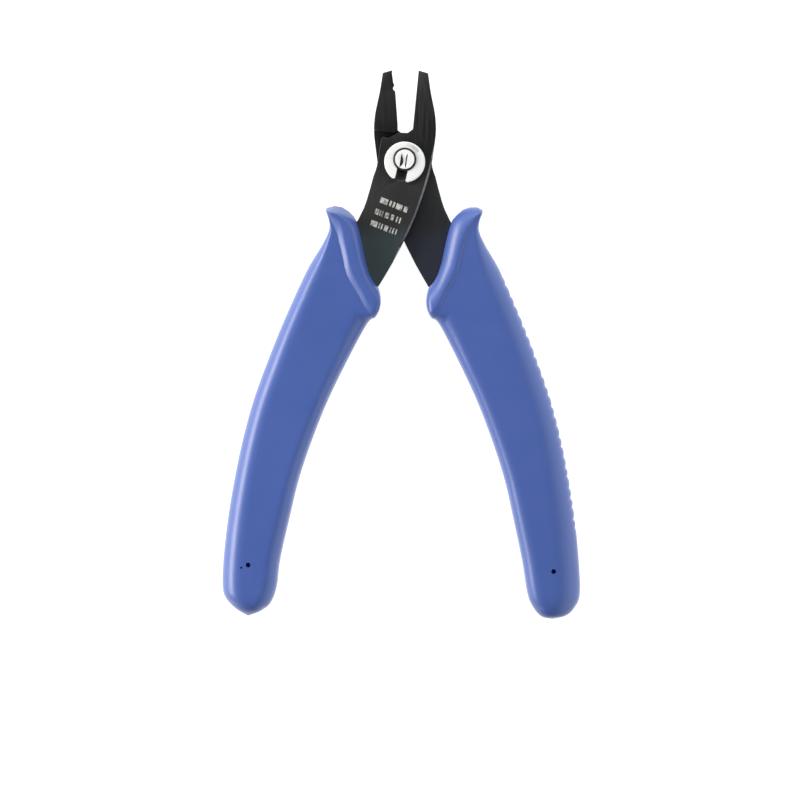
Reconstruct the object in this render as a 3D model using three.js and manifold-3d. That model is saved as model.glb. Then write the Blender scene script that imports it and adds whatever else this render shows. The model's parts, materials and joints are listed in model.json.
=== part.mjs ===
// Crimping pliers for jewellery work: two half-lapped steel halves on one pivot pin,
// held by a C-shaped clip, opened by a hairpin wire spring, with two vinyl grips.
//
// The tool lies flat with its jaws towards +Y, its clip up (+Z) and one handle on each side.
// Units are millimetres. A half is drawn in its own frame: the pivot at 0, 0, the jaw above it
// and the mating plane of the closed jaws on x = 0. The front half has the right jaw and the
// left handle; the rear half is the same forging turned over about Y.

import * as THREE from "three";
import { LoftGeometry } from "three/addons/geometries/LoftGeometry.js";
import { mergeVertices } from "three/addons/utils/BufferGeometryUtils.js";
import Module from "manifold-3d";

const wasm = await Module();
wasm.setup();

// ---------------------------------------------------------------- driving dimensions

const restOpening = THREE.MathUtils.degToRad(16.5); // angle between the halves at rest

// levels, upwards from the surface that the tool lies on
const gripDepth = 11.2;
const lapPlane = gripDepth / 2;
const lapGap = 0.1;
const plateThickness = 2.55;
const jawTipThickness = 2.8;

const handleLength = 108.7;
const jawLength = 20.8;
const taperStart = 9.8; // the jaw faces taper from here to the tip
const matingGap = 0.04; // from the mating plane to each closed jaw

const pinRadius = 2.7;
const pinClearance = 0.08;
const pinGrooveRadius = 2;
const pinHeadRadius = 4.7;
const pinHeadBottom = 0.5;
const pinHeadTop = 1.65;
const pinTop = 9.6;
const pinChamfer = 0.4;
const pinSlotWidth = 0.9;
const pinSlotLength = 3.1;
const pinSlotDepth = 0.25;
const pinSlotTurn = THREE.MathUtils.degToRad(-8);

const clipRadius = 4.8;
const clipInnerRadius = 2.2; // the clip reaches into the pin's groove
const clipDrop = 0.7; // its rim is centred this far below the pin
const clipThickness = 0.8;
const clipSlot = 2.5;
const clipTurn = THREE.MathUtils.degToRad(-12); // the slot points down and to the left

const wireRadius = 0.55;
const wireLoopRadius = 3.5;
const wireLevel = 2.3;

const stakeMark = { x: -0.25, y: -3.9, radius: 1.1, depth: 0.4 }; // round punch mark below the clip

const cavityGap = 0.3; // between a grip and the tang or wire inside it
const bodyInset = 0.8; // the grip body starts this much below the collar's face
const outerCorner = 4.6; // corner radii of the grip's section
const innerCorner = 3.4;
const collarCorner = 1.1;
const vinylHoleRadius = 0.55;
const vinylHoleDepth = 3;

const plateBase = lapPlane + lapGap / 2;
const plateTop = plateBase + plateThickness;
const jawBottom = 2 * lapPlane - plateTop;

// ---------------------------------------------------------------- materials

function finish(color, roughness, metalness) {
  return new THREE.MeshStandardMaterial({ color, roughness, metalness });
}

const blackSteel = finish(0x26282a, 0.45, 0.8);
const brightSteel = finish(0xe6e6e4, 0.25, 1);
const springSteel = finish(0x8d8f90, 0.35, 1);
const blueVinyl = finish(0x4b63ad, 0.5, 0);

// ---------------------------------------------------------------- helpers

const at = (x, y) => new THREE.Vector2(x, y);

function smooth(points, steps) {
  return new THREE.SplineCurve(points).getPoints(steps);
}

function solid(geometry) {
  const bare = new THREE.BufferGeometry();
  bare.setAttribute("position", geometry.getAttribute("position"));
  bare.setIndex(geometry.getIndex());
  const merged = mergeVertices(bare, 1e-4);
  return new wasm.Manifold(new wasm.Mesh({
    numProp: 3,
    vertProperties: new Float32Array(merged.attributes.position.array),
    triVerts: new Uint32Array(merged.index.array),
  }));
}

function extrude(points, bottom, top) {
  const shape = new THREE.Shape(points);
  const geometry = new THREE.ExtrudeGeometry(shape, { depth: top - bottom, bevelEnabled: false });
  return solid(geometry.translate(0, 0, bottom));
}

function disc(radius, bottom, top, segments) {
  const geometry = new THREE.CylinderGeometry(radius, radius, top - bottom, segments);
  return solid(geometry.rotateX(Math.PI / 2).translate(0, 0, (bottom + top) / 2));
}

function wire(points, radius, steps, sides) {
  const section = new THREE.Shape();
  section.absarc(0, 0, radius, 0, 2 * Math.PI);
  const path = new THREE.CatmullRomCurve3(points, false, "centripetal");
  const options = { steps, extrudePath: path, curveSegments: sides / 2 };
  return solid(new THREE.ExtrudeGeometry(section, options));
}

function geometryOf(body) {
  const { vertProperties, triVerts } = body.getMesh();
  const geometry = new THREE.BufferGeometry();
  geometry.setAttribute("position", new THREE.BufferAttribute(vertProperties, 3));
  geometry.setIndex(new THREE.BufferAttribute(triVerts, 1));
  geometry.computeVertexNormals();
  return geometry;
}

function piece(name, body, material) {
  const mesh = new THREE.Mesh(geometryOf(body), material);
  mesh.name = name;
  return mesh;
}

// ---------------------------------------------------------------- steel halves

const jawOuterEdge = [
  at(2.3, 20.5), at(3.4, 16.8), at(4.3, 14.2), at(5.1, 12), at(5.75, 9.6), at(6.2, 6.8),
  at(6.26, 3), at(6.25, -0.5), at(5.85, -4.2), at(5.1, -8.9), at(3.8, -14.8), at(1, -23.4),
  at(-1.4, -29.4),
];
const tangInnerEdge = [at(-1.4, -29.4), at(-6.5, -38), at(-11.5, -50), at(-16.6, -72), at(-18.5, -90)];
const tangOuterEdge = [at(-22, -91), at(-22.6, -80), at(-20.5, -60), at(-15.5, -35), at(-12.5, -25)];
const plateLeftEdge = [
  at(-12.5, -25), at(-8.4, -15), at(-7.2, -10.4), at(-6.5, -4.7), at(-6.1, -2.5), at(-6.05, 4.1),
];
const throatEdge = [at(-5.7, 4.45), at(-4.4, 4.35), at(-2.6, 5.75), at(-2.1, 5.95), at(-0.27, 6.15)];

const plainFace = [at(0.8, 7.2), at(matingGap, jawLength)];

// the crimping face: a shoulder, a round notch for the crimp, a tooth and a relieved tip
const notchCentre = 16.6;
const notchRadius = 0.62;
const notchDepth = 0.42;
const notchSteps = 6;

function notchArc() {
  const points = [];
  for (let i = 0; i <= notchSteps; i += 1) {
    const angle = Math.PI * (i / notchSteps - 0.5);
    const depth = notchDepth * Math.cos(angle);
    points.push(at(matingGap + depth, notchCentre + notchRadius * Math.sin(angle)));
  }
  return points;
}

const notchedFace = [
  at(0.65, 7), at(0.5, 8.3), at(matingGap, 15.6), ...notchArc(), at(matingGap, 17.5),
  at(0.2, 17.9), at(0.2, 20.2), at(matingGap, jawLength),
];

const shoulderEdge = [at(6.6, 7.95), at(4.14, 7.1), at(1.6, 6.4)];

function halfOutline(face) {
  return [
    ...smooth(jawOuterEdge, 26),
    ...smooth(tangInnerEdge, 8).slice(1),
    ...smooth(tangOuterEdge, 8),
    ...smooth(plateLeftEdge, 10).slice(1),
    ...throatEdge,
    ...face,
  ];
}

// everything above the shoulder keeps its full thickness
function jawRegion(face) {
  return [at(6.6, jawLength + 1), ...shoulderEdge, face[0], at(-1, face[0].y), at(-1, jawLength + 1)];
}

// a long wedge that only the jaw reaches the faces of
function taperProfile() {
  const reach = jawLength + 1;
  const slope = (plateTop - lapPlane - jawTipThickness / 2) / (jawLength - taperStart);
  const tipHalf = plateTop - lapPlane - slope * (reach - taperStart);
  const far = -1.1 * handleLength;
  const full = -0.2 * jawLength;
  const shape = new THREE.Shape([
    at(far, jawBottom - 1), at(full, jawBottom - 1), at(taperStart, jawBottom), at(reach, lapPlane - tipHalf),
    at(reach, lapPlane + tipHalf), at(taperStart, plateTop), at(full, plateTop + 1), at(far, plateTop + 1),
  ]);
  const width = handleLength / 2;
  const geometry = new THREE.ExtrudeGeometry(shape, { depth: width, bevelEnabled: false });
  geometry.translate(0, 0, -width / 2);
  const basis = new THREE.Matrix4().makeBasis(
    new THREE.Vector3(0, 1, 0), new THREE.Vector3(0, 0, 1), new THREE.Vector3(1, 0, 0),
  );
  return solid(geometry.applyMatrix4(basis));
}

function steelHalf(face) {
  const outline = halfOutline(face);
  const plate = extrude(outline, plateBase, plateTop);
  const jaw = extrude(outline, jawBottom, plateBase + lapGap).intersect(
    extrude(jawRegion(face), jawBottom - 1, plateTop),
  );
  const bore = disc(pinRadius + pinClearance, jawBottom - 1, plateTop + 1, 48);
  return plate.add(jaw).intersect(taperProfile()).subtract(bore);
}

function punchMark() {
  const mark = disc(stakeMark.radius, plateTop - stakeMark.depth, plateTop + 1, 16);
  return mark.translate([stakeMark.x, stakeMark.y, 0]);
}

// turned over about Y, through the lap plane
function turnedOver(body) {
  const turn = new THREE.Matrix4().makeRotationY(Math.PI).setPosition(0, 0, 2 * lapPlane);
  return solid(geometryOf(body).applyMatrix4(turn));
}

// ---------------------------------------------------------------- pivot pin and clip

function pivotPin() {
  const grooveBottom = plateTop + 0.05;
  const grooveTop = grooveBottom + clipThickness + 0.1;
  const headEdge = 0.3;
  const profile = [
    at(0, pinHeadBottom), at(pinHeadRadius - headEdge, pinHeadBottom),
    at(pinHeadRadius, pinHeadBottom + headEdge), at(pinHeadRadius, pinHeadTop - headEdge),
    at(pinHeadRadius - headEdge, pinHeadTop), at(pinRadius, pinHeadTop), at(pinRadius, grooveBottom),
    at(pinGrooveRadius, grooveBottom), at(pinGrooveRadius, grooveTop), at(pinRadius, grooveTop),
    at(pinRadius, pinTop - pinChamfer), at(pinRadius - pinChamfer, pinTop), at(0, pinTop),
  ];
  const turned = solid(new THREE.LatheGeometry(profile, 48).rotateX(Math.PI / 2));
  const slot = new THREE.BoxGeometry(pinSlotWidth, pinSlotLength, 2 * pinSlotDepth);
  slot.translate(0, 0, pinTop).rotateZ(pinSlotTurn);
  return turned.subtract(solid(slot));
}

function retainingClip() {
  const bottom = plateTop + 0.1;
  const top = bottom + clipThickness;
  const rim = disc(clipRadius, bottom, top, 48).translate([0, -clipDrop, 0]);
  const ring = rim.subtract(disc(clipInnerRadius, bottom - 1, top + 1, 48));
  const slot = new THREE.BoxGeometry(clipSlot, 2 * clipRadius, 2 * clipThickness);
  slot.translate(0, -clipRadius, (bottom + top) / 2);
  return ring.subtract(solid(slot.rotateZ(clipTurn)));
}

// ---------------------------------------------------------------- return spring

// one leg, from beside the pin into the grip's collar
const legPoints = [at(-4.3, -6), at(-5.4, -14), at(-7.2, -22), at(-9.2, -29), at(-10.6, -34)];

function legPath(level) {
  return legPoints.map((point) => new THREE.Vector3(point.x, point.y, level));
}

function springPath() {
  const zAxis = new THREE.Vector3(0, 0, 1);
  const left = legPath(wireLevel).map((point) => point.applyAxisAngle(zAxis, -restOpening / 2));
  const right = left.map((point) => new THREE.Vector3(-point.x, point.y, point.z));
  const loop = [];
  for (let i = 0; i <= 6; i += 1) {
    const angle = Math.PI * (1 - i / 6);
    loop.push(new THREE.Vector3(Math.cos(angle), Math.sin(angle), 0).multiplyScalar(wireLoopRadius));
    loop[i].z = wireLevel;
  }
  return [...left.reverse(), ...loop, ...right];
}

// ---------------------------------------------------------------- grips

// the raised collar runs from the finger guard down to the inner edge of the handle
const collarMouth = [
  at(-16.2, -13.8), at(-14.6, -12.95), at(-12.2, -13), at(-10.4, -14), at(-8.8, -15.5),
  at(-7, -19.6), at(-5.1, -24.8), at(-3.3, -28.2), at(-1.6, -29.7), at(-0.55, -32.4),
  at(-0.6, -35), at(-1.4, -36.9),
];
const collarRidge = [
  at(-16, -14.5), at(-14, -16.4), at(-12.1, -19.1), at(-10.2, -23), at(-8.5, -27.6),
  at(-6.1, -31), at(-4.1, -34.1), at(-1.7, -37),
];
const bodyOuterEdge = [
  at(-14.6, -15.2), at(-14.7, -18.6), at(-15.7, -22), at(-18.4, -28.6), at(-21.7, -40.3),
  at(-24, -50), at(-25.9, -59.6), at(-27, -69), at(-27.5, -78.4), at(-27.6, -87.7), at(-27.2, -97),
  at(-26.5, -103.2), at(-25.3, -106.6), at(-23.3, -108.2), at(-20.4, -handleLength),
];
const bodyInnerEdge = [
  at(-2.2, -34), at(-2.6, -37), at(-3.4, -40), at(-6, -47.4), at(-9, -57.1), at(-11.25, -66.7),
  at(-12.9, -76.3), at(-13.7, -85.7), at(-14.35, -95.1), at(-14.4, -102), at(-15.2, -105.7),
  at(-17, -107.8), at(-20.4, -handleLength),
];
const vinylHole = at(-21.2, -97.6);

const bodyStations = 20;
const lastStation = 0.996; // the end cap stands this far along the handle
const collarStations = 14;
const cornerSteps = 4;

// a rounded rectangle standing on the line from one edge of the grip to the other
function gripSection(outer, inner, halfDepth, outerRadius, innerRadius) {
  const across = inner.clone().sub(outer);
  const halfWidth = across.length() / 2;
  const centre = outer.clone().add(inner).multiplyScalar(0.5);
  across.normalize();
  const points = [];
  for (let quarter = 0; quarter < 4; quarter += 1) {
    const side = quarter === 0 || quarter === 3 ? 1 : -1;
    const largest = side > 0 ? innerRadius : outerRadius;
    const corner = Math.min(largest, 0.9 * halfWidth, 0.9 * halfDepth);
    const rise = quarter < 2 ? 1 : -1;
    for (let i = 0; i <= cornerSteps; i += 1) {
      const angle = (Math.PI / 2) * (quarter + i / cornerSteps);
      const run = side * (halfWidth - corner) + corner * Math.cos(angle);
      const height = rise * (halfDepth - corner) + corner * Math.sin(angle);
      points.push(new THREE.Vector3(centre.x + across.x * run, centre.y + across.y * run, lapPlane + height));
    }
  }
  return points;
}

// thinnest under the collar, full in the palm, rounded off at the end
function gripHalfDepth(t) {
  const full = gripDepth / 2;
  const swell = THREE.MathUtils.smoothstep(t, 0.05, 0.3);
  const end = THREE.MathUtils.clamp((t - 0.93) / 0.07, 0, 1);
  return (full - bodyInset * (1 - swell)) * Math.sqrt(1 - 0.85 * end * end);
}

function gripBody() {
  const outer = new THREE.SplineCurve(bodyOuterEdge);
  const inner = new THREE.SplineCurve(bodyInnerEdge);
  const sections = [];
  for (let i = 0; i < bodyStations; i += 1) {
    const even = i / (bodyStations - 1);
    const t = lastStation * (1 - (1 - even) ** 2);
    const edges = [outer.getPointAt(t), inner.getPointAt(t)];
    sections.push(gripSection(...edges, gripHalfDepth(t), outerCorner, innerCorner));
  }
  return solid(new LoftGeometry(sections, { capStart: true, capEnd: true }));
}

function gripCollar() {
  const ridge = new THREE.SplineCurve(collarRidge);
  const mouth = new THREE.SplineCurve(collarMouth);
  const sections = [];
  for (let i = 0; i < collarStations; i += 1) {
    const t = i / (collarStations - 1);
    const edges = [ridge.getPoint(t), mouth.getPoint(t)];
    sections.push(gripSection(...edges, gripDepth / 2, collarCorner, collarCorner));
  }
  return solid(new LoftGeometry(sections, { capStart: true, capEnd: true }));
}

function tangCavity() {
  const cavityEnd = tangOuterEdge[0].y - 1;
  const wider = (points, shift) => points.map((point) => at(point.x + shift, point.y));
  const points = [
    ...smooth(wider([at(6, -10), ...tangInnerEdge], cavityGap), 10),
    at(-18.5 + cavityGap, cavityEnd), at(-22 - cavityGap, cavityEnd),
    ...smooth(wider([...tangOuterEdge, ...plateLeftEdge.slice(1, 3)], -cavityGap), 12),
  ];
  return extrude(points, plateBase - cavityGap, plateTop + cavityGap);
}

function wireChannel(level) {
  const end = new THREE.Vector3(-11.2, -36, level);
  return wire([...legPath(level), end], wireRadius + cavityGap, 14, 10);
}

// the dimple is drawn at the top of a front grip and at the bottom of one to be turned over
function vinylGrip(level, dimpleTop) {
  const dimple = disc(vinylHoleRadius, dimpleTop - vinylHoleDepth - 1, dimpleTop, 12);
  return gripBody()
    .add(gripCollar())
    .subtract(tangCavity())
    .subtract(wireChannel(level))
    .subtract(dimple.translate([vinylHole.x, vinylHole.y, 0]));
}

// ---------------------------------------------------------------- assembly

const frontHalf = new THREE.Group();
frontHalf.rotation.z = -restOpening / 2;
frontHalf.add(piece("front_half", steelHalf(plainFace).subtract(punchMark()), blackSteel));
frontHalf.add(piece("left_grip", vinylGrip(wireLevel, gripDepth + 1), blueVinyl));

const rearHalf = new THREE.Group();
rearHalf.rotation.z = restOpening / 2;
rearHalf.add(piece("rear_half", turnedOver(steelHalf(notchedFace)), blackSteel));
rearHalf.add(piece("right_grip", turnedOver(vinylGrip(gripDepth - wireLevel, vinylHoleDepth)), blueVinyl));

const pliers = new THREE.Group();
pliers.add(frontHalf);
pliers.add(rearHalf);
pliers.add(piece("pivot_pin", pivotPin(), brightSteel));
pliers.add(piece("retaining_clip", retainingClip(), brightSteel));
pliers.add(piece("return_spring", wire(springPath(), wireRadius, 56, 8), springSteel));

// the origin is the middle of the tool's footprint, on the surface that it lies on
pliers.updateMatrixWorld(true);
const extent = new THREE.Box3().setFromObject(pliers, true);
const middle = extent.getCenter(new THREE.Vector3());
pliers.position.set(-middle.x, -middle.y, -extent.min.z);

export default pliers;
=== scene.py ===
"""The looks of the crimping pliers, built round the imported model.

The steel halves are the frame's own solids with joined faces and rounded edges. The grips, clip,
pin, spring and marks are new meshes in their places. Shapes are drawn in millimetres in a half's
own frame, as if the tool were closed: the pivot at 0, 0, jaws towards +Y, and the right-hand
handle drawn as the left one turned over. place() turns them into the row frame in metres.
"""

import json
import math

import bmesh
import bpy
import numpy as np
from mathutils import Matrix, Vector


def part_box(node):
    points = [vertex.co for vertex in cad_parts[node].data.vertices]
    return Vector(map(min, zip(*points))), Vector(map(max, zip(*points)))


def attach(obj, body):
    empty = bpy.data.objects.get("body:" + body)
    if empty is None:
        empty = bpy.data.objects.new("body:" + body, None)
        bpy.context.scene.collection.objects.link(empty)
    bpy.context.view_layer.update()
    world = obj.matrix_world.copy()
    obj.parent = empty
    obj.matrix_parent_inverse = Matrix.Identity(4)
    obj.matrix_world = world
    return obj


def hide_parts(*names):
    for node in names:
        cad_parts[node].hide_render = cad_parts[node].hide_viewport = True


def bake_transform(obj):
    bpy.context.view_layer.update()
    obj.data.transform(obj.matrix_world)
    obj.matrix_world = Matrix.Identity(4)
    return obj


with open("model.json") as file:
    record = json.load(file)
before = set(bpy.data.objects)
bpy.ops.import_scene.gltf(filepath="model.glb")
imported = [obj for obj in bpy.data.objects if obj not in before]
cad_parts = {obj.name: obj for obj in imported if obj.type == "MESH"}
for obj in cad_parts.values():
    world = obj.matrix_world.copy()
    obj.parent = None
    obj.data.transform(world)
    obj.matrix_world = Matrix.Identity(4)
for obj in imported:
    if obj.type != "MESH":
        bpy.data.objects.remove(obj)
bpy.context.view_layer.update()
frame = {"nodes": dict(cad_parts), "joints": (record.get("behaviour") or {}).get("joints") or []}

# ---------------------------------------------------------------- driving dimensions

MM = 0.001
JOINT = frame["joints"][0]
PIVOT = Vector(JOINT["pos_m"])
REST_TURN = math.radians(16.5 / 2)
LEFT = -1
RIGHT = 1

GRIP_DEPTH = (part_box("left_grip")[1].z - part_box("left_grip")[0].z) / MM
LAP = GRIP_DEPTH / 2
PLATE_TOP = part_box("front_half")[1].z / MM
PIN_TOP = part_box("pivot_pin")[1].z / MM
CLIP_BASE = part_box("retaining_clip")[0].z / MM
CLIP_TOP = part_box("retaining_clip")[1].z / MM

GRAIN = 0.01 * MM  # the height of the fine grain in every bump

# ---------------------------------------------------------------- curves and meshes


def spline(points, count=400):
    """Evenly spaced points along a Catmull-Rom curve through the given ones."""
    p = np.array(points, float)
    p = np.vstack([2 * p[0] - p[1], p, 2 * p[-1] - p[-2]])
    t = np.linspace(0, 1, 24, endpoint=False)[:, None]
    rows = []
    for a, b, c, d in zip(p, p[1:], p[2:], p[3:]):
        cubic = (3 * b - a - 3 * c + d) * t**3
        square = (2 * a - 5 * b + 4 * c - d) * t**2
        rows.append(0.5 * (2 * b + (c - a) * t + square + cubic))
    rows.append(p[-2][None])
    dense = np.vstack(rows)
    steps = np.linalg.norm(np.diff(dense, axis=0), axis=1)
    length = np.concatenate([[0], np.cumsum(steps)])
    even = np.linspace(0, length[-1], count)
    return np.column_stack([np.interp(even, length, column) for column in dense.T])


def along(curve, t):
    """The points at fractions t of an evenly spaced curve."""
    index = np.arange(len(curve))
    x = np.asarray(t, float) * (len(curve) - 1)
    return np.stack([np.interp(x, index, column) for column in curve.T], axis=-1)


def smoothstep(x, low, high):
    t = np.clip((x - low) / (high - low), 0, 1)
    return t * t * (3 - 2 * t)


def place(points, side):
    """A half's own millimetres to the row frame in metres. The right handle is turned over."""
    p = np.array(points, float)
    if side == RIGHT:
        p = p * (-1, 1, -1) + (0, 0, 2 * LAP)
    turn = side * REST_TURN
    x = p[..., 0] * math.cos(turn) - p[..., 1] * math.sin(turn)
    y = p[..., 0] * math.sin(turn) + p[..., 1] * math.cos(turn)
    return np.stack([x * MM + PIVOT.x, y * MM + PIVOT.y, p[..., 2] * MM], axis=-1)


def make_object(name, mesh, materials):
    piece = bpy.data.objects.new(name, mesh)
    bpy.context.scene.collection.objects.link(piece)
    for material in materials:
        mesh.materials.append(material)
    return piece


def grid_mesh(name, rings):
    """A skin over a list of rings of points, capped by joining each end ring's halves."""
    rings = np.asarray(rings)
    count, around = rings.shape[:2]
    faces = []
    for i in range(count - 1):
        for j in range(around):
            k = (j + 1) % around
            faces.append((i * around + j, i * around + k, (i + 1) * around + k, (i + 1) * around + j))
    for base in (0, (count - 1) * around):
        for j in range(around // 2):
            near = (base + j, base + j + 1)
            far = (base + (around - j - 1) % around, base + (around - j) % around)
            quad = [near[0], near[1], far[0], far[1]]
            face = list(dict.fromkeys(quad))
            if len(face) > 2:
                faces.append(tuple(face))
    mesh = bpy.data.meshes.new(name)
    mesh.from_pydata(rings.reshape(-1, 3).tolist(), [], faces)
    tidy_normals(mesh)
    return mesh


def tidy_normals(mesh):
    bm = bmesh.new()
    bm.from_mesh(mesh)
    bmesh.ops.recalc_face_normals(bm, faces=bm.faces)
    bm.to_mesh(mesh)
    bm.free()


def shade(mesh, sharp_degrees):
    """Smooth shading with sharp creases. A cut can leave stored normals behind: they go first."""
    if "custom_normal" in mesh.attributes:
        mesh.attributes.remove(mesh.attributes["custom_normal"])
    mesh.shade_smooth()
    mesh.set_sharp_from_angle(angle=math.radians(sharp_degrees))


def cut(piece, *cutters):
    """Takes the cutters' shapes out of a piece for good, and deletes the ones made for that."""
    for cutter in cutters:
        modifier = piece.modifiers.new("cut", "BOOLEAN")
        modifier.operation = "DIFFERENCE"
        modifier.solver = "EXACT"
        modifier.object = cutter
    graph = bpy.context.evaluated_depsgraph_get()
    mesh = bpy.data.meshes.new_from_object(piece.evaluated_get(graph))
    piece.modifiers.clear()
    old = piece.data
    piece.data = mesh
    bpy.data.meshes.remove(old)


def discard(*objects):
    for item in objects:
        bpy.data.objects.remove(item, do_unlink=True)


# ---------------------------------------------------------------- material nodes


class Nodes:
    """A new material's nodes, with short ways to add and join them."""

    def __init__(self, name):
        self.material = bpy.data.materials.new(name)
        self.material.use_nodes = True
        self.tree = self.material.node_tree
        self.shader = self.tree.nodes["Principled BSDF"]
        coordinates = self.tree.nodes.new("ShaderNodeTexCoord")
        self.place = coordinates.outputs["Object"]

    def add(self, kind, **settings):
        node = self.tree.nodes.new(kind)
        for key, value in settings.items():
            setattr(node, key, value)
        return node

    def join(self, output, node, socket):
        self.tree.links.new(output, node.inputs[socket])

    def noise(self, scale, detail, stretch=(1, 1, 1), turn=0.0):
        """Noise with the given number of cells in a metre, stretched along turned axes."""
        mapping = self.add("ShaderNodeMapping")
        mapping.inputs["Scale"].default_value = stretch
        mapping.inputs["Rotation"].default_value = (0, 0, turn)
        self.join(self.place, mapping, "Vector")
        noise = self.add("ShaderNodeTexNoise")
        noise.inputs["Scale"].default_value = scale
        noise.inputs["Detail"].default_value = detail
        self.join(mapping.outputs["Vector"], noise, "Vector")
        return noise.outputs["Fac"]

    def ramp(self, value, stops):
        """A value turned into colours: stops are (position, colour)."""
        ramp = self.add("ShaderNodeValToRGB")
        elements = ramp.color_ramp.elements
        for element, (position, colour) in zip(elements, stops):
            element.position = position
            element.color = (*colour, 1)
        for position, colour in stops[2:]:
            elements.new(position).color = (*colour, 1)
        self.join(value, ramp, "Fac")
        return ramp.outputs["Color"]

    def remap(self, value, low, high, to_low, to_high):
        remap = self.add("ShaderNodeMapRange")
        for socket, number in zip(range(1, 5), (low, high, to_low, to_high)):
            remap.inputs[socket].default_value = number
        self.join(value, remap, 0)
        return remap.outputs["Result"]

    def mix(self, factor, first, second, blend="MIX"):
        mix = self.add("ShaderNodeMix", data_type="RGBA", blend_type=blend)
        for socket, value in zip((0, 6, 7), (factor, first, second)):
            if isinstance(value, bpy.types.NodeSocket):
                self.tree.links.new(value, mix.inputs[socket])
            elif socket == 0:
                mix.inputs[socket].default_value = value
            else:
                mix.inputs[socket].default_value = (*value, 1)
        return mix.outputs[2]

    def math(self, operation, first, second):
        node = self.add("ShaderNodeMath", operation=operation)
        for socket, value in enumerate((first, second)):
            if isinstance(value, bpy.types.NodeSocket):
                self.tree.links.new(value, node.inputs[socket])
            else:
                node.inputs[socket].default_value = value
        return node.outputs[0]

    def axis(self, name):
        split = self.add("ShaderNodeSeparateXYZ")
        self.join(self.place, split, "Vector")
        return split.outputs[name]

    def set(self, **values):
        for key, value in values.items():
            self.shader.inputs[key.replace("_", " ")].default_value = value

    def surface(self, colour, roughness):
        self.join(colour, self.shader, "Base Color")
        self.join(roughness, self.shader, "Roughness")

    def bump(self, height, strength):
        bump = self.add("ShaderNodeBump")
        bump.inputs["Strength"].default_value = strength
        bump.inputs["Distance"].default_value = GRAIN
        self.join(height, bump, "Height")
        self.join(bump.outputs["Normal"], self.shader, "Normal")


VINYL_END = (-62.5 * MM, -57.5 * MM)  # the grips darken down this last stretch of the row


def blue_vinyl():
    """Soft satin vinyl: faint cloudiness, a fine moulded grain and darker ends."""
    n = Nodes("blue_vinyl")
    n.set(Specular_IOR_Level=0.4, Coat_Weight=0.9, Coat_Roughness=0.34, Coat_IOR=1.5)
    cloud = n.ramp(n.noise(55, 3), [(0.3, (0.054, 0.113, 0.40)), (0.7, (0.064, 0.122, 0.42))])
    ends = n.remap(n.axis("Y"), *VINYL_END, 0.8, 0.0)
    colour = n.mix(ends, cloud, (0.034, 0.078, 0.29))
    n.surface(colour, n.remap(n.noise(220, 5), 0.3, 0.7, 0.42, 0.52))
    n.bump(n.noise(2600, 3), 0.3)
    return n.material


def black_oxide():
    """Black oxide ground steel: grinding streaks on the right jaw, a lighter zone from the pin down,
    and a painted blue-green reflection of the grips on the steel beside them."""
    n = Nodes("black_oxide")
    n.set(Metallic=0.25, Specular_IOR_Level=0.42)
    streaks = n.noise(90, 5, stretch=(22, 1.2, 1), turn=REST_TURN)
    mottle = n.noise(160, 5)
    base = n.ramp(mottle, [(0.3, (0.0095, 0.0098, 0.0105)), (0.75, (0.0125, 0.0128, 0.0135))])
    right_jaw = n.remap(n.axis("X"), 0.0, 4 * MM, 0.15, 1.0)
    root = n.remap(n.axis("Y"), PIVOT.y, PIVOT.y + 5 * MM, 0.1, 1.0)
    tip = n.remap(n.axis("Y"), PIVOT.y + 10 * MM, PIVOT.y + 15 * MM, 1.0, 0.35)
    jaw_zone = n.math("MULTIPLY", n.math("MULTIPLY", root, tip), right_jaw)
    lift = n.math("MULTIPLY", n.remap(streaks, 0.42, 0.72, 0.0, 0.7), jaw_zone)
    streaky = n.mix(lift, base, (0.030, 0.031, 0.033))
    # Lighter from 6 mm below the pin downwards, fading out by 1 mm above it
    lighter_zone = n.remap(n.axis("Y"), PIVOT.y - 6 * MM, PIVOT.y + 1 * MM, 1.0, 0.0)
    worn = n.mix(lighter_zone, streaky, (0.033, 0.033, 0.034))
    # Beside the grips the steel takes a painted reflection of their blue and green, greener to the
    # left and bluer to the right
    grip_reflection_zone = n.remap(n.axis("Y"), PIVOT.y - 18.5 * MM, PIVOT.y - 14.5 * MM, 1.0, 0.0)
    to_right = n.remap(n.axis("X"), 0.0, 2 * MM, 0, 1)
    painted_grip_reflection = n.mix(to_right, (0.046, 0.066, 0.067), (0.036, 0.041, 0.058))
    n.surface(n.mix(grip_reflection_zone, worn, painted_grip_reflection), n.remap(streaks, 0.3, 0.7, 0.36, 0.48))
    n.bump(streaks, 0.3)
    return n.material


def bare_steel():
    """The bright line along the sheared edge, where the black has worn through."""
    n = Nodes("bare_steel")
    n.set(Metallic=0.5)
    wear = n.noise(900, 4)
    bright = n.ramp(wear, [(0.3, (0.16, 0.14, 0.13)), (0.7, (0.27, 0.245, 0.225))])
    top_fade = n.remap(n.axis("Y"), PIVOT.y - 5 * MM, PIVOT.y + 1 * MM, 0.0, 0.9)
    low_fade = n.remap(n.axis("Y"), PIVOT.y - 19.5 * MM, PIVOT.y - 17.5 * MM, 0.9, 0.0)
    colour = n.mix(n.math("MAXIMUM", top_fade, low_fade), bright, (0.022, 0.017, 0.016))
    n.surface(colour, n.remap(wear, 0.3, 0.7, 0.4, 0.55))
    n.bump(wear, 0.3)
    return n.material


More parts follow.
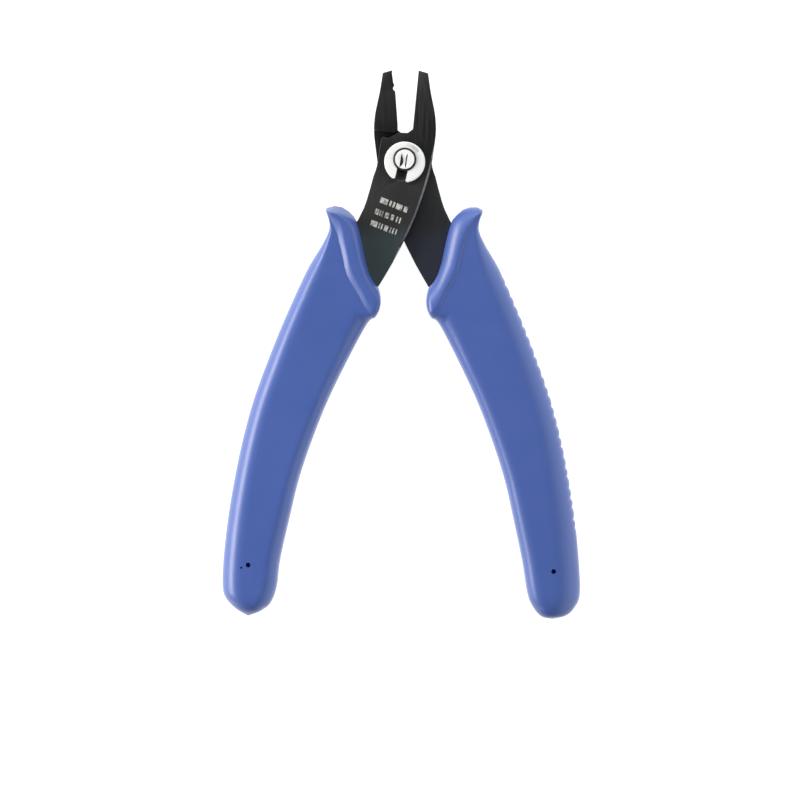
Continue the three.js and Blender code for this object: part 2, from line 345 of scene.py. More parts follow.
def bright_zinc():
    """Bright plate: turned lines round the pin, and a grey arc to the upper right."""
    n = Nodes("bright_zinc")
    n.set(Metallic=0.02)
    x = n.math("SUBTRACT", n.axis("X"), PIVOT.x)
    y = n.math("SUBTRACT", n.axis("Y"), PIVOT.y)
    radius = n.math("SQRT", n.math("ADD", n.math("MULTIPLY", x, x), n.math("MULTIPLY", y, y)), 0)
    angle = n.math("ARCTAN2", y, x)
    rings = n.add("ShaderNodeTexNoise", noise_dimensions="2D")
    rings.inputs["Scale"].default_value = 1.0
    rings.inputs["Detail"].default_value = 4.0
    polar = n.add("ShaderNodeCombineXYZ")
    n.join(n.math("MULTIPLY", radius, 1900), polar, "X")
    n.join(n.math("MULTIPLY", angle, 0.8), polar, "Y")
    n.join(polar.outputs[0], rings, "Vector")
    turned = rings.outputs["Fac"]
    start = n.remap(angle, math.radians(27), math.radians(33), 0, 1)
    end = n.remap(angle, math.radians(55), math.radians(95), 1, 0)
    outer = n.remap(radius, 2.8 * MM, 3.1 * MM, 0, 1)
    rim = n.remap(radius, 4.0 * MM, 3.7 * MM, 0, 1)
    patch = n.math("MULTIPLY", n.math("MULTIPLY", start, end), n.math("MULTIPLY", outer, rim))
    grey_arc = n.math("MULTIPLY", patch, n.remap(turned, 0.3, 0.65, 0.25, 0.75))
    plate = n.ramp(turned, [(0.3, (0.94, 0.94, 0.95)), (0.6, (0.98, 0.98, 0.975))])
    n.surface(n.mix(grey_arc, plate, (0.36, 0.36, 0.37)), n.remap(turned, 0.3, 0.7, 0.22, 0.36))
    n.bump(turned, 0.08)
    return n.material


def spring_wire():
    """Drawn spring wire, with streaks along it."""
    n = Nodes("spring_wire")
    n.set(Metallic=1.0)
    drawn = n.noise(300, 4, stretch=(6, 1, 6))
    colour = n.ramp(drawn, [(0.3, (0.36, 0.37, 0.38)), (0.7, (0.5, 0.51, 0.52))])
    n.surface(colour, n.remap(drawn, 0.3, 0.7, 0.25, 0.4))
    return n.material


def mark_paint():
    """Pale etched marks, uneven and a little worn."""
    n = Nodes("mark_paint")
    worn = n.noise(1500, 4)
    colour = n.ramp(worn, [(0.35, (0.16, 0.155, 0.15)), (0.62, (0.62, 0.60, 0.57))])
    n.surface(colour, n.remap(worn, 0.3, 0.7, 0.5, 0.75))
    return n.material


def hole_painted_shade():
    """Painted shade inside the small holes in the grips: a darker blue than the vinyl, standing in
    for their depth.
    """
    n = Nodes("hole_painted_shade")
    n.set(Specular_IOR_Level=0.1)
    shadow = n.noise(500, 2)
    colour = n.ramp(shadow, [(0.3, (0.024, 0.03, 0.24)), (0.7, (0.03, 0.04, 0.3))])
    n.surface(colour, n.remap(shadow, 0.3, 0.7, 0.7, 0.9))
    return n.material


VINYL = blue_vinyl()
BLACK = black_oxide()
BARE = bare_steel()
ZINC = bright_zinc()
WIRE = spring_wire()
PAINT = mark_paint()
HOLE_SHADE = hole_painted_shade()

# ---------------------------------------------------------------- steel halves

EDGE_ROUND = 0.16
SHEARED_CHAMFER = 0.42
SHEARED_RUN = (-22, 4)  # the sheared edge, from the crossing up to beside the pin
SHEARED_RIGHT = 1.2  # it lies further right of the middle line than this
SHEARED_CLEAR = 4  # and outside this radius round the pin
SHARP_EDGE = math.radians(22)


def own_frame(point, side):
    """A point in the row frame back in its half's own millimetres, not turned over."""
    p = (Vector(point) - PIVOT) / MM
    return Matrix.Rotation(-side * REST_TURN, 3, "Z") @ p


def is_sheared(edge):
    """True on the upper right edge of the front plate, from beside the pin down to the crossing."""
    low, high = SHEARED_RUN
    for vert in edge.verts:
        p = own_frame(vert.co, LEFT)
        on_top = abs(vert.co.z / MM - PLATE_TOP) <= 0.01
        if not on_top or p.x < SHEARED_RIGHT or not low < p.y < high:
            return False
    return Vector((p.x, p.y)).length > SHEARED_CLEAR


def bevel(bm, edges, width, segments, material=-1):
    bmesh.ops.bevel(
        bm, geom=edges, offset=width * MM, offset_type="OFFSET", segments=segments, profile=0.5,
        affect="EDGES", clamp_overlap=False, loop_slide=True, material=material,
    )


def sharp_edges(bm):
    return [e for e in bm.edges if len(e.link_faces) == 2 and e.calc_face_angle(0) > SHARP_EDGE]


def steel_half(node, name, body):
    """The frame's own solid with its flat faces joined and its edges rounded."""
    mesh = frame["nodes"][node].data.copy()
    mesh.materials.clear()
    bm = bmesh.new()
    bm.from_mesh(mesh)
    bmesh.ops.remove_doubles(bm, verts=bm.verts, dist=1e-6)
    bmesh.ops.dissolve_limit(bm, angle_limit=math.radians(0.8), verts=bm.verts, edges=bm.edges)
    if node == "front_half":
        bevel(bm, [e for e in sharp_edges(bm) if is_sheared(e)], SHEARED_CHAMFER, 1, 1)
        rest = [e for e in sharp_edges(bm) if all(f.material_index == 0 for f in e.link_faces)]
    else:
        rest = sharp_edges(bm)
    bevel(bm, rest, EDGE_ROUND, 2)
    bm.to_mesh(mesh)
    bm.free()
    piece = make_object(name, mesh, [BLACK, BARE])
    shade(mesh, 24)
    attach(piece, body)
    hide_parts(node)
    return piece


# ---------------------------------------------------------------- grips

MOUTH = [
    (-16.2, -13.8), (-14.6, -12.95), (-12.2, -13.0), (-10.4, -14.0), (-8.8, -15.5), (-7.0, -19.6),
    (-5.1, -24.8), (-3.3, -28.2), (-1.7, -29.6), (-0.9, -31.2),
]
RIDGE = [
    (-16.0, -14.7), (-15.0, -15.4), (-14.0, -16.6), (-12.1, -19.1), (-10.2, -23.0), (-8.5, -27.6),
    (-6.8, -30.1), (-5.3, -32.0), (-4.1, -34.1), (-2.8, -35.8), (-1.3, -36.9),
]
OUTER = [
    (-16.0, -14.7), (-15.1, -16.4), (-14.7, -18.6), (-15.7, -22.0), (-18.4, -28.6), (-21.7, -40.3),
    (-24.0, -50.0), (-25.9, -59.6), (-27.0, -69.0), (-27.5, -78.4), (-27.6, -87.7), (-27.2, -97.0),
]
INNER = [
    (-1.3, -36.9), (-2.3, -37.6), (-3.5, -40.2), (-6.0, -47.4), (-9.0, -57.1), (-11.25, -66.7),
    (-12.9, -76.3), (-13.7, -85.7), (-14.35, -95.1),
]
# the ends differ: the left one comes to a blunt point and the right one is broad
OUTER_END = {
    LEFT: [(-26.4, -103.4), (-25.1, -106.0), (-22.6, -107.8), (-19.6, -109.0)],
    RIGHT: [(-26.4, -104.4), (-24.7, -107.3), (-22.6, -108.7), (-19.4, -109.1)],
}
INNER_END = {
    LEFT: [(-14.2, -101.5), (-15.0, -105.3), (-16.9, -107.4), (-19.6, -109.0)],
    RIGHT: [(-14.5, -101.9), (-15.1, -105.2), (-16.8, -108.0), (-19.4, -109.1)],
}

# Round the collar, v runs from the finger guard at 0 to the inner end at 1.
MOUTH_WALL = {LEFT: 1.6, RIGHT: 2.4}  # half the height of the upright edge round the mouth
RIDGE_BOW = {LEFT: 0.85, RIGHT: 0.0}  # how far the ridge bows out from its line
BOW_WAY = (-0.9, -0.45)
RIDGE_EASE = 1.2  # bunches the ridge's points towards the guard, so that they face the mouth's
LIP_WIDE = 1.6  # run of the flat slope behind the mouth's edge, at the left finger guard only
LIP_RISE = 0.8  # the share of the height that this slope climbs
LIP_END = (0.12, 0.42)  # over this stretch of v it gives way to the rounding
LIP_ROUND = {LEFT: 1.9, RIGHT: 1.6}  # power of the rounding that takes its place elsewhere
LIP_CORNER = {LEFT: 0.4, RIGHT: 1.3}  # outer corner at the mouth, which ends as COLLAR_CORNER
CROWN_AT = {LEFT: 0.42, RIGHT: 0.8}  # the crown, as a share of the way to the ridge's foot
CROWN_EASE = 1.5  # power of the run from the flat slope up to the crown
BODY_DROP = {LEFT: 0.9, RIGHT: 0.3}  # from the crown to the body's face
STEP_SHARE = 0.8  # the share of that drop in the last short step
STEP_AT = {LEFT: 0.74, RIGHT: 0.8}  # where the step starts, on the same way as the crown
STEP_EASE = 1.5
GUARD_CROWN = 0.88  # at the left finger guard the crown moves out to here
GUARD_END = 0.22  # v where the left finger guard ends
GUARD_SPREAD = 2.4  # added power that draws out the ridge's slope at the finger guard
SPREAD_END = 0.4
BULB = (0.65, -0.2)  # how far the collar swells at its inner end
COLLAR_CORNER = 1.3
OUTER_CORNER = {LEFT: np.array((4.6, 4.6)), RIGHT: np.array((6.4, 4.6))}
INNER_CORNER = 3.4
CORNER_STEPS = 8
TOP_STEPS = 14
SIDE_STEPS = 2

# Along a grip, t runs from the ridge at 0 to the far end at 1.
BODY_STATIONS = 320
BODY_SWELL = (0.06, 0.34)  # over this stretch the body rises to its full depth
RIDGE_FADE = 0.22  # the ridge's bend dies out here
OUTER_CORNER_AT = 0.14  # the corners reach their full size here
INNER_CORNER_AT = 0.04
END_FROM = 0.93  # the depth rounds off from here to the far end
END_RUN = 0.07
END_THIN = 0.9  # the share of the depth's square that it loses

RIB_PITCH = 2.4
RIB_DEPTH = 0.36
RIB_REACH = 1.0  # how far in from the outer edge the ribs fade out
RIB_START = -28.0
RIB_END = -91.0
RIB_FADE = (3, 4)  # the ribs come in and die out over these lengths
RIB_SHARP = 1.6  # power that narrows the grooves

HOLE_AT = {LEFT: (-21.3, -97.35), RIGHT: (-21.05, -98.2)}
HOLE_RADIUS = 0.55
SMALL_HOLE_AT = (-22.75, -98.2)
SMALL_HOLE_RADIUS = 0.24
HOLE_DEPTH = 0.8


def half_ring(width, half_depth, outer_corner, inner_corner):
    """Across and up coordinates over the top of a rounded bar, from its outer to its inner side.
    A corner is a radius, or its run and its rise."""
    corners = [np.broadcast_to(corner, 2) for corner in (outer_corner, inner_corner)]
    squeeze = min(1, 0.96 * width / (corners[0][0] + corners[1][0]))
    sides = []
    for run, rise in corners:
        run, rise = run * squeeze, min(rise * squeeze, 0.97 * half_depth)
        turn = np.linspace(0, math.pi / 2, CORNER_STEPS + 1)
        side = [(0, z) for z in np.linspace(0, half_depth - rise, SIDE_STEPS, endpoint=False)]
        side += [(run * (1 - math.cos(a)), half_depth - rise * (1 - math.sin(a))) for a in turn]
        sides.append(np.array(side))
    outer, inner = sides
    inner = inner[::-1] * (-1, 1) + (width, 0)
    run = np.linspace(outer[-1, 0], inner[0, 0], TOP_STEPS + 1)[1:-1]
    top = np.column_stack([run, np.full(len(run), half_depth)])
    return np.vstack([outer, top, inner])


def section(plan, half_depth, outer_corner, inner_corner, cut=0.0):
    """A ring standing on a plan curve. plan(v) gives points from the outer to the inner edge."""
    start, end = plan(np.array([0.0, 1.0]))
    width = np.linalg.norm(end - start)
    across = (end - start) / width
    upper = half_ring(width, half_depth, outer_corner, inner_corner)
    points = plan(upper[:, 0] / width)
    near = np.clip(1 - upper[:, 0] / RIB_REACH, 0, 1)
    points = points + np.outer(cut * near, across)
    top = np.column_stack([points, upper[:, 1]])
    bottom = top[-2:0:-1] * (1, 1, -1)
    return np.vstack([top, bottom]) + (0, 0, LAP)


def ridge_at(v, side):
    """The ridge's points, spaced so that they face the mouth's. The left one bows out further."""
    v = np.asarray(v, float)
    bow = RIDGE_BOW[side] * 4 * v * (1 - v)
    return along(spline(RIDGE), v**RIDGE_EASE) + np.outer(bow, BOW_WAY)


def collar_plan(side, climb, beyond):
    """A plan curve of the collar: climb runs from the mouth to the crown, beyond from there to
    the ridge's foot."""
    mouth = spline(MOUTH)
    power = LIP_ROUND[side]

    def curve(v):
        v = np.asarray(v, float)
        near, far = along(mouth, v), ridge_at(v, side)
        guard = 1 - smoothstep(v, 0.0, GUARD_END) if side == LEFT else 0.0
        crown = CROWN_AT[side] + (GUARD_CROWN - CROWN_AT[side]) * guard
        rounding = crown * (1 - (1 - climb**power) ** (1 / power))
        lip = np.minimum(LIP_WIDE / np.linalg.norm(far - near, axis=1), 0.8 * crown)
        slope = lip * climb / LIP_RISE
        if climb > LIP_RISE:
            slope = lip + (crown - lip) * ((climb - LIP_RISE) / (1 - LIP_RISE)) ** CROWN_EASE
        round_share = smoothstep(v, *LIP_END) if side == LEFT else 1.0
        spread = 1 + GUARD_SPREAD * (1 - smoothstep(v, 0.0, SPREAD_END))
        s = slope + (rounding - slope) * round_share + (1 - crown) * beyond**spread
        return near + (far - near) * s[:, None] + np.outer(4 * s * (1 - s) * v**5, BULB)

    return curve


def collar_sections(side):
    """The collar, from the wall round its mouth over the crown to the foot of its ridge."""
    full, wall, crown = GRIP_DEPTH / 2, MOUTH_WALL[side], CROWN_AT[side]
    lip = (LIP_CORNER[side], COLLAR_CORNER)
    rings = [section(collar_plan(side, 0, 0), h, *lip) for h in (0.6, 1.0)]
    for angle in np.linspace(0, math.pi / 2, 15):
        climb = math.sin(angle)
        rings.append(section(collar_plan(side, climb, 0), wall + (full - wall) * climb, *lip))
    for beyond in np.linspace(0, 1, 20)[1:]:
        s = crown + (1 - crown) * beyond
        gentle = (1 - STEP_SHARE) * smoothstep(s, crown, 1.05)
        step = STEP_SHARE * max(0, (s - STEP_AT[side]) / (1 - STEP_AT[side])) ** STEP_EASE
        corner = lip[0] + (COLLAR_CORNER - lip[0]) * beyond
        depth = full - BODY_DROP[side] * (gentle + step)
        rings.append(section(collar_plan(side, 1, beyond), depth, corner, COLLAR_CORNER))
    return rings


def rib_profile(y):
    """How far the ribs' grooves cut in, down the outer edge. Some ribs are worn lower."""
    fade_in, fade_out = RIB_FADE
    inside = smoothstep(-y, -RIB_START, fade_in - RIB_START)
    inside = inside * (1 - smoothstep(-y, -RIB_END - fade_out, -RIB_END))
    phase = (RIB_START - y) / RIB_PITCH
    wear = 0.75 + 0.25 * math.sin(2.3 * math.floor(phase + 0.5))
    wave = 0.5 - 0.5 * math.cos(2 * math.pi * phase)
    return RIB_DEPTH * inside * wear * wave**RIB_SHARP


def body_sections(side):
    """The rest of a grip, from the foot of the ridge to the far end."""
    outer = spline(OUTER + OUTER_END[side], 900)
    inner = spline(INNER + INNER_END[side], 900)
    full = GRIP_DEPTH / 2

    def bow(v):
        """How the ridge bends away from the straight line between its ends."""
        return ridge_at(v, side) - np.outer(1 - v, RIDGE[0]) - np.outer(v, RIDGE[-1])

    def plan(t):
        fade = 1 - smoothstep(t, 0.0, RIDGE_FADE)

        def curve(v):
            v = np.asarray(v, float)
            return np.outer(1 - v, along(outer, t)) + np.outer(v, along(inner, t)) + fade * bow(v)

        return curve

    rings = []
    for even in np.linspace(0.006, 1, BODY_STATIONS):
        t = 0.9995 * (1 - (1 - even) ** 1.15)
        swell = smoothstep(t, *BODY_SWELL)
        end = np.clip((t - END_FROM) / END_RUN, 0, 1)
        depth = (full - BODY_DROP[side] * (1 - swell)) * math.sqrt(1 - END_THIN * end * end)
        outer_share = smoothstep(t, 0.0, OUTER_CORNER_AT)
        inner_share = smoothstep(t, 0.0, INNER_CORNER_AT)
        outer_corner = COLLAR_CORNER + (OUTER_CORNER[side] - COLLAR_CORNER) * outer_share
        inner_corner = COLLAR_CORNER + (INNER_CORNER - COLLAR_CORNER) * inner_share
        cut = rib_profile(along(outer, t)[1]) if side == RIGHT else 0.0
        rings.append(section(plan(t), depth, outer_corner, inner_corner, cut))
    return rings


def drill(at, radius, side):
    """A round cutter at a place on a grip's upper face, in the grip's own frame."""
    turn = np.linspace(0, 2 * math.pi, 28, endpoint=False)
    circle = np.column_stack([at[0] + radius * np.cos(turn), at[1] + radius * np.sin(turn)])
    rings = []
    for level in (GRIP_DEPTH - HOLE_DEPTH, GRIP_DEPTH + 1):
        z = level if side == LEFT else 2 * LAP - level
        rings.append(np.column_stack([circle, np.full(len(circle), z)]))
    mesh = grid_mesh("drill", place(rings, side))
    piece = make_object("drill", mesh, [VINYL, HOLE_SHADE])
    # The cutter's faces line each hole with the painted shade
    for face in mesh.polygons:
        face.material_index = 1
    return piece


def vinyl_grip(side, name, node, body, steel, spring):
    rings = place(collar_sections(side) + body_sections(side), side)
    mesh = grid_mesh(name, rings)
    piece = make_object(name, mesh, [VINYL, HOLE_SHADE])
    drills = [drill(HOLE_AT[side], HOLE_RADIUS, side)]
    if side == LEFT:
        drills.append(drill(SMALL_HOLE_AT, SMALL_HOLE_RADIUS, side))
    cut(piece, steel, spring, *drills)
    discard(*drills)
    shade(piece.data, 30)
    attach(piece, body)
    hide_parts(node)
    return piece


# ---------------------------------------------------------------- pin and clip

PIN_RADIUS = 2.7
PIN_CHAMFER = 0.45
PIN_GROOVE = 2.0
PIN_HEAD_RADIUS = 4.7
PIN_HEAD_TOP = 1.65
SLOT_SIDES = (-0.95, 0.56)
SLOT_LENGTH = 3.3
SLOT_DEPTH = 0.3
SLOT_DROP = 0.3  # the slot's middle lies this far below the pin's
SLOT_LEAN = (0.66, 0.34)  # how far its left and right walls lean in at their widest
SLOT_TURN = math.radians(-8)

CLIP_RADIUS = 4.7
CLIP_INNER = 2.2
CLIP_SLOT = 2.5
CLIP_TURN = math.radians(-12)
CLIP_DROP = 0.62  # the rim is centred this far below the pin
CLIP_CORNER = 0.22
CLIP_HORN = 0.55
CLIP_DOME = 0.05


def lathe(name, profile, steps=96):
    """A closed turned shape about the pivot. The profile runs from axis to axis, in millimetres."""
    bm = bmesh.new()
    rows = []
    for radius, z in profile:
        if radius < 1e-6:
            rows.append([bm.verts.new((PIVOT.x, PIVOT.y, z * MM))])
            continue
        turn = np.linspace(0, 2 * math.pi, steps, endpoint=False)
        reach = radius * MM
        ring = [(PIVOT.x + reach * math.cos(a), PIVOT.y + reach * math.sin(a)) for a in turn]
        rows.append([bm.verts.new((x, y, z * MM)) for x, y in ring])
    for low, high in zip(rows, rows[1:]):
        for j in range(steps):
            k = j + 1
            corners = [low[j % len(low)], low[k % len(low)], high[k % len(high)], high[j % len(high)]]
            bm.faces.new(dict.fromkeys(corners))
    bmesh.ops.recalc_face_normals(bm, faces=bm.faces)
    mesh = bpy.data.meshes.new(name)
    bm.to_mesh(mesh)
    bm.free()
    return mesh


def rounded(points, radius, steps=3):
    """A profile with its inner corners rounded by short arcs."""
    out = [points[0]]
    for before, corner, after in zip(points, points[1:], points[2:]):
        p, c, q = (np.array(k, float) for k in (before, corner, after))
        reach = min(radius, 0.45 * np.linalg.norm(p - c), 0.45 * np.linalg.norm(q - c))
        a = c + (p - c) / np.linalg.norm(p - c) * reach
        b = c + (q - c) / np.linalg.norm(q - c) * reach
        for t in np.linspace(0, 1, steps + 1):
            out.append(tuple((1 - t) ** 2 * a + 2 * t * (1 - t) * c + t * t * b))
    return out + [points[-1]]


def pin_slot():
    """A cutter for the worn slot in the pin's end: a wedge on its left, a thin line on its right. Its
    sloping walls carry the black material, as painted shade in the slot.
    """
    turn = Matrix.Rotation(SLOT_TURN, 2)
    left, right = SLOT_SIDES
    rings = []
    for u in np.linspace(0.98, -0.98, 17):
        wedge = left + SLOT_LEAN[0] * (1 - u * u) * (1 - 0.55 * u)
        line = right - SLOT_LEAN[1] * (1 - u**6)
        low = PIN_TOP - SLOT_DEPTH * (1 - u * u)
        run = [(left, PIN_TOP + 1), (left, PIN_TOP), (wedge, low)]
        run += [(line, low), (right, PIN_TOP), (right, PIN_TOP + 1)]
        flat = [turn @ Vector((x, u * SLOT_LENGTH / 2 - SLOT_DROP)) for x, _ in run]
        spots = [(p.x * MM + PIVOT.x, p.y * MM + PIVOT.y) for p in flat]
        rings.append([(x, y, z * MM) for (x, y), (_, z) in zip(spots, run)])
    mesh = grid_mesh("slot", rings)
    piece = make_object("slot", mesh, [ZINC, BLACK])
    across = turn @ Vector((1, 0))
    # Walls that face across the slot take the black material: painted shade in the slot
    for face in mesh.polygons:
        face.material_index = 1 if abs(face.normal.xy @ across) > 0.2 else 0
    return piece


def pivot_pin():
    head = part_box("pivot_pin")[0].z / MM
    groove = (CLIP_BASE - 0.05, CLIP_TOP + 0.05)
    profile = rounded(
        [
            (0, head), (PIN_HEAD_RADIUS, head), (PIN_HEAD_RADIUS, PIN_HEAD_TOP),
            (PIN_RADIUS, PIN_HEAD_TOP), (PIN_RADIUS, groove[0]), (PIN_GROOVE, groove[0]),
            (PIN_GROOVE, groove[1]), (PIN_RADIUS, groove[1]), (PIN_RADIUS, PIN_TOP - PIN_CHAMFER),
            (PIN_RADIUS - PIN_CHAMFER, PIN_TOP), (0, PIN_TOP),
        ],
        0.12,
    )
    mesh = lathe("pin", profile)
    piece = make_object("pin", mesh, [ZINC, BLACK])
    # The chamfer and sides of the pin's end take the black material: a painted dark reflection round
    # the rim of its face
    for face in mesh.polygons:
        middle = face.center
        radius = (Vector((middle.x, middle.y)) - PIVOT.xy).length / MM
        painted_dark_rim = middle.z / MM > PIN_HEAD_TOP + 0.1 and radius > PIN_RADIUS - PIN_CHAMFER - 0.02
        face.material_index = 1 if painted_dark_rim else 0
    slot = pin_slot()
    cut(piece, slot)
    discard(slot)
    shade(piece.data, 35)
    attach(piece, "rear_body")
    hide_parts("pivot_pin")
    return piece


def clip_rim(angle):
    """The distance from the pin's axis out to the clip's rim, in a given direction."""
    away = angle + math.pi / 2
    return CLIP_DROP * np.cos(away) + np.sqrt(CLIP_RADIUS**2 - (CLIP_DROP * np.sin(away)) ** 2)


def clip_ring(t, inset):
    """One section of the clip at a fraction of the way round, drawn in from its edges by inset."""
    half_depth = (CLIP_TOP - CLIP_BASE) / 2
    level = (CLIP_TOP + CLIP_BASE) / 2
    middle = math.pi / 2 + CLIP_TURN
    rim = clip_rim(middle + (2 * t - 1) * 0.9 * math.pi)
    width = rim - CLIP_INNER - 2 * inset
    upper = half_ring(width, half_depth, CLIP_CORNER, CLIP_CORNER)
    radius = CLIP_INNER + inset + upper[:, 0]
    across = upper[:, 0] / width
    dome = CLIP_DOME * (4 * across * (1 - across) - 1) * (upper[:, 1] > 0.5 * half_depth)
    angle = middle + (2 * t - 1) * (math.pi - np.arcsin(CLIP_SLOT / 2 / radius))
    flat = np.column_stack([radius * np.cos(angle), radius * np.sin(angle)])
    top = np.column_stack([flat, level + upper[:, 1] + dome])
    bottom = np.column_stack([flat, level - upper[:, 1]])[-2:0:-1]
    return np.vstack([top, bottom]) * MM + (PIVOT.x, PIVOT.y, 0)


def retaining_clip():
    """A C-shaped ring hung off centre, with parallel slot sides, round horns and a domed face."""
    arc = math.pi * (CLIP_RADIUS + CLIP_INNER)
    turn = np.linspace(0, math.pi / 2, 7)[:-1]
    horn = [(CLIP_HORN * (1 - math.cos(a)) / arc, CLIP_HORN * (1 - math.sin(a))) for a in turn]
    stations = horn + [(t, 0) for t in np.linspace(CLIP_HORN / arc, 1 - CLIP_HORN / arc, 110)]
    stations += [(1 - t, inset) for t, inset in reversed(horn)]
    mesh = grid_mesh("clip", [clip_ring(t, inset) for t, inset in stations])
    piece = make_object("clip", mesh, [ZINC])
    shade(mesh, 50)
    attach(piece, "rear_body")
    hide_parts("retaining_clip")
    return piece


# ---------------------------------------------------------------- return spring

WIRE_RADIUS = 0.55
WIRE_LOOP = 3.5
WIRE_LEG = [(-4.3, -6), (-5.4, -14), (-7.2, -22), (-9.2, -29), (-10.6, -34)]


def spring_path():
    """Up the left leg, over the pin and down the right one, in the row frame in metres."""
    level = (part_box("return_spring")[0].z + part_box("return_spring")[1].z) / 2
    leg = place([(x, y, 0) for x, y in WIRE_LEG], LEFT)[:, :2]
    left = leg[::-1]
    right = leg * (-1, 1)
    turn = np.linspace(math.pi, 0, 9)
    loop = np.column_stack([np.cos(turn), np.sin(turn)]) * WIRE_LOOP * MM + (PIVOT.x, PIVOT.y)
    flat = spline(np.vstack([left, loop, right]), 160)
    return np.column_stack([flat, np.full(len(flat), level)])


def return_spring():
    """The hairpin wire in its rest shape."""
    path = spring_path()
    ahead = np.gradient(path, axis=0)
    ahead /= np.linalg.norm(ahead, axis=1)[:, None]
    up = np.array((0, 0, 1.0))
    rings = []
    for point, way in zip(path, ahead):
        aside = np.cross(way, up)
        turn = np.linspace(0, 2 * math.pi, 16, endpoint=False)
        ring = [math.cos(a) * aside + math.sin(a) * up for a in turn]
        rings.append([point + WIRE_RADIUS * MM * spoke for spoke in ring])
    mesh = grid_mesh("spring", rings)
    piece = make_object("spring", mesh, [WIRE])
    shade(mesh, 60)
    return piece


def bend_spring(piece):
    """Bakes the spring's placement into its mesh and hides the frame's own spring."""
    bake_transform(piece)
    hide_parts("return_spring")


# ---------------------------------------------------------------- marks on the front plate

MARK_SLOPE = math.radians(-12.5)
MARK_LEAN = 0.16
MARK_HEIGHT = 1.35
MARK_RAISE = 0.03
MARK_SINK = 0.01
MARK_TOP_SHARE = 0.88  # a bar's top, as a share of its foot
MARK_ROWS = [
    ((-4.15, -9.95), [1.9, 0.35, 0.5, 0.35, 0.5, 0.3, 1.5, 0.4, 0.9]),
    ((-4.9, -12.7), [0.9, 0.2, 0.3, 0.25, 0.3, 0.5, 0.9, 0.5, 0.7, 0.6, 0.35, 0.4, 0.35]),
    ((-5.5, -15.45), [1.6, 0.3, 0.35, 0.3, 0.35, 0.4, 0.9, 0.45, 0.35, 0.3, 0.35, 0.4, 0.3]),
]


def mark_rows():
    """Three rows of plain bars and blocks, alternating bar and gap widths along each row."""
    bm = bmesh.new()
    along_row = Vector((math.cos(MARK_SLOPE), math.sin(MARK_SLOPE)))
    lean = Vector((math.sin(MARK_LEAN), math.cos(MARK_LEAN)))
    for start, widths in MARK_ROWS:
        at = 0.0
        for index, width in enumerate(widths):
            if index % 2 == 0:
                low = Vector(start) + along_row * at - lean * (MARK_HEIGHT / 2)
                corners = [low, low + along_row * width]
                corners += [c + lean * MARK_HEIGHT for c in reversed(corners)]
                add_bar(bm, corners)
            at += width
    mesh = bpy.data.meshes.new("marks")
    bm.to_mesh(mesh)
    bm.free()
    piece = make_object("marks", mesh, [PAINT])
    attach(piece, "front_body")
    return piece


def add_bar(bm, corners):
    """A low bar with sloping sides, standing on the plate."""
    middle = sum(corners, Vector((0, 0))) / len(corners)
    levels = ((1.0, PLATE_TOP - MARK_SINK), (MARK_TOP_SHARE, PLATE_TOP + MARK_RAISE))
    rows = []
    for scale, z in levels:
        flat = [middle + (c - middle) * scale for c in corners]
        points = place([(p.x, p.y, z) for p in flat], LEFT)
        rows.append([bm.verts.new(p) for p in points])
    low, high = rows
    bm.faces.new(high)
    bm.faces.new(list(reversed(low)))
    for j in range(4):
        k = (j + 1) % 4
        bm.faces.new((low[j], low[k], high[k], high[j]))


# ---------------------------------------------------------------- stage, light and camera

SCENE_WIDTH = 0.18407  # the width of the frame at the lap plane
VIEW_CENTRE = (-0.00060, PIVOT.y - 0.0552)
CAMERA_HEIGHT = 1.1
CAMERA_ROLL = math.radians(0.5)
FLOOR_HALF = 2.5
SKY_HORIZON = 0.75
SKY_OVERHEAD = 0.17
SKY_LEVEL = 0.85  # the height up the sky, of 1, where it reaches its overhead strength


def floor_material():
    n = Nodes("floor_paper")
    paper = n.ramp(n.noise(30, 3), [(0.3, (0.34, 0.34, 0.34)), (0.7, (0.36, 0.36, 0.36))])
    n.join(paper, n.shader, "Base Color")
    n.set(Roughness=0.9, Specular_IOR_Level=0.1, Emission_Color=(1, 1, 1, 1), Emission_Strength=0.95)
    return n.material


def make_floor():
    mesh = bpy.data.meshes.new("floor")
    turned = ((-1, -1), (1, -1), (1, 1), (-1, 1))
    corners = [(x * FLOOR_HALF, y * FLOOR_HALF, 0) for x, y in turned]
    mesh.from_pydata(corners, [], [(0, 1, 2, 3)])
    make_object("floor", mesh, [floor_material()])


def area_light(name, place_at, aim, size, watts, colour=(1, 1, 1)):
    data = bpy.data.lights.new(name, "AREA")
    data.shape = "RECTANGLE"
    data.size, data.size_y = size
    data.energy = watts
    data.color = colour
    lamp = bpy.data.objects.new(name, data)
    lamp.location = place_at
    lamp.rotation_euler = (Vector(aim) - Vector(place_at)).to_track_quat("-Z", "Y").to_euler()
    bpy.context.scene.collection.objects.link(lamp)


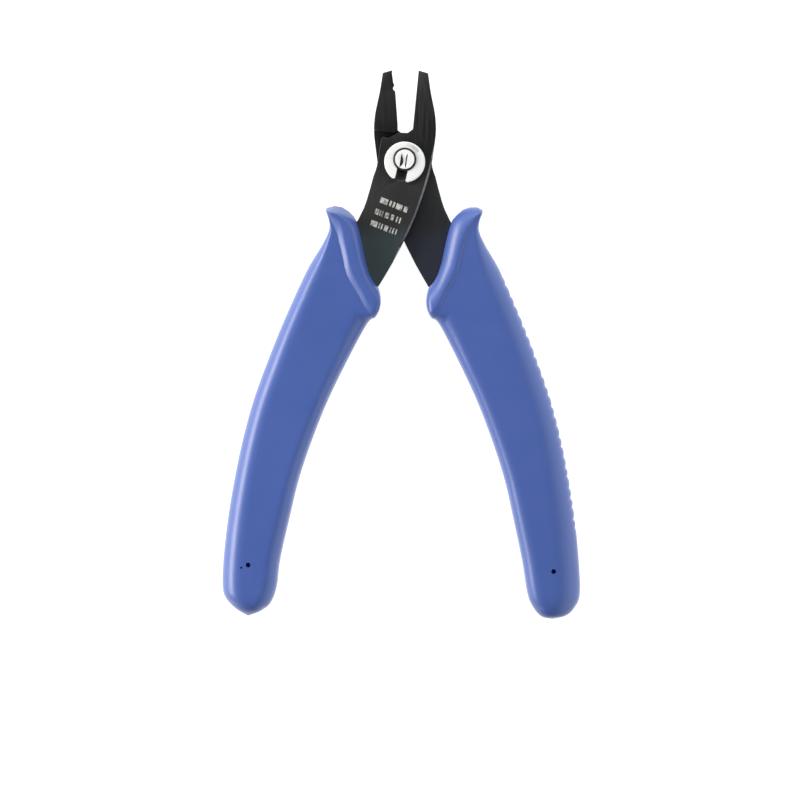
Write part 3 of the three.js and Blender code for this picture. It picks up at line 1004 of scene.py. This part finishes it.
def make_lights():
    """A bright low window on the left, a softer one on the right and one behind the jaws."""
    aim = (0, 0, 0)
    area_light("key_left", (-0.55, 0.06, 0.21), aim, (0.55, 0.22), 3.7, (1, 0.95, 0.89))
    area_light("fill_right", (0.95, -0.1, 0.5), aim, (1.8, 1.0), 4.1, (0.9, 1, 1))
    area_light("back", (0.0, 1.0, 0.75), aim, (1.2, 0.5), 8.8)


def make_sky():
    """Dim overhead, so that flat faces stay deep in colour, and bright towards the horizon."""
    world = bpy.data.worlds.new("studio")
    world.use_nodes = True
    tree = world.node_tree
    direction = tree.nodes.new("ShaderNodeTexCoord")
    split = tree.nodes.new("ShaderNodeSeparateXYZ")
    tree.links.new(direction.outputs["Generated"], split.inputs[0])
    sky = tree.nodes.new("ShaderNodeMapRange")
    sky.interpolation_type = "SMOOTHSTEP"
    for socket, number in zip(range(1, 5), (0.0, SKY_LEVEL, SKY_HORIZON, SKY_OVERHEAD)):
        sky.inputs[socket].default_value = number
    tree.links.new(split.outputs["Z"], sky.inputs[0])
    tree.links.new(sky.outputs["Result"], tree.nodes["Background"].inputs["Strength"])
    tree.nodes["Background"].inputs["Color"].default_value = (0.96, 0.98, 1, 1)
    bpy.context.scene.world = world


def make_camera():
    data = bpy.data.cameras.new("camera")
    data.sensor_width = 36
    data.lens = data.sensor_width * (CAMERA_HEIGHT - LAP * MM) / SCENE_WIDTH
    camera = bpy.data.objects.new("camera", data)
    camera.location = (*VIEW_CENTRE, CAMERA_HEIGHT)
    camera.rotation_euler = (0, 0, CAMERA_ROLL)
    bpy.context.scene.collection.objects.link(camera)
    bpy.context.scene.camera = camera


# ---------------------------------------------------------------- the whole tool

bpy.context.scene.view_settings.view_transform = "Standard"

make_camera()
make_floor()
make_lights()
make_sky()

front = steel_half("front_half", "front_steel", "front_body")
rear = steel_half("rear_half", "rear_steel", "rear_body")
spring_piece = return_spring()
cad_front = frame["nodes"]["front_half"]
cad_rear = frame["nodes"]["rear_half"]
vinyl_grip(LEFT, "left_vinyl", "left_grip", "front_body", cad_front, spring_piece)
vinyl_grip(RIGHT, "right_vinyl", "right_grip", "rear_body", cad_rear, spring_piece)
bend_spring(spring_piece)
pivot_pin()
retaining_clip()
mark_rows()
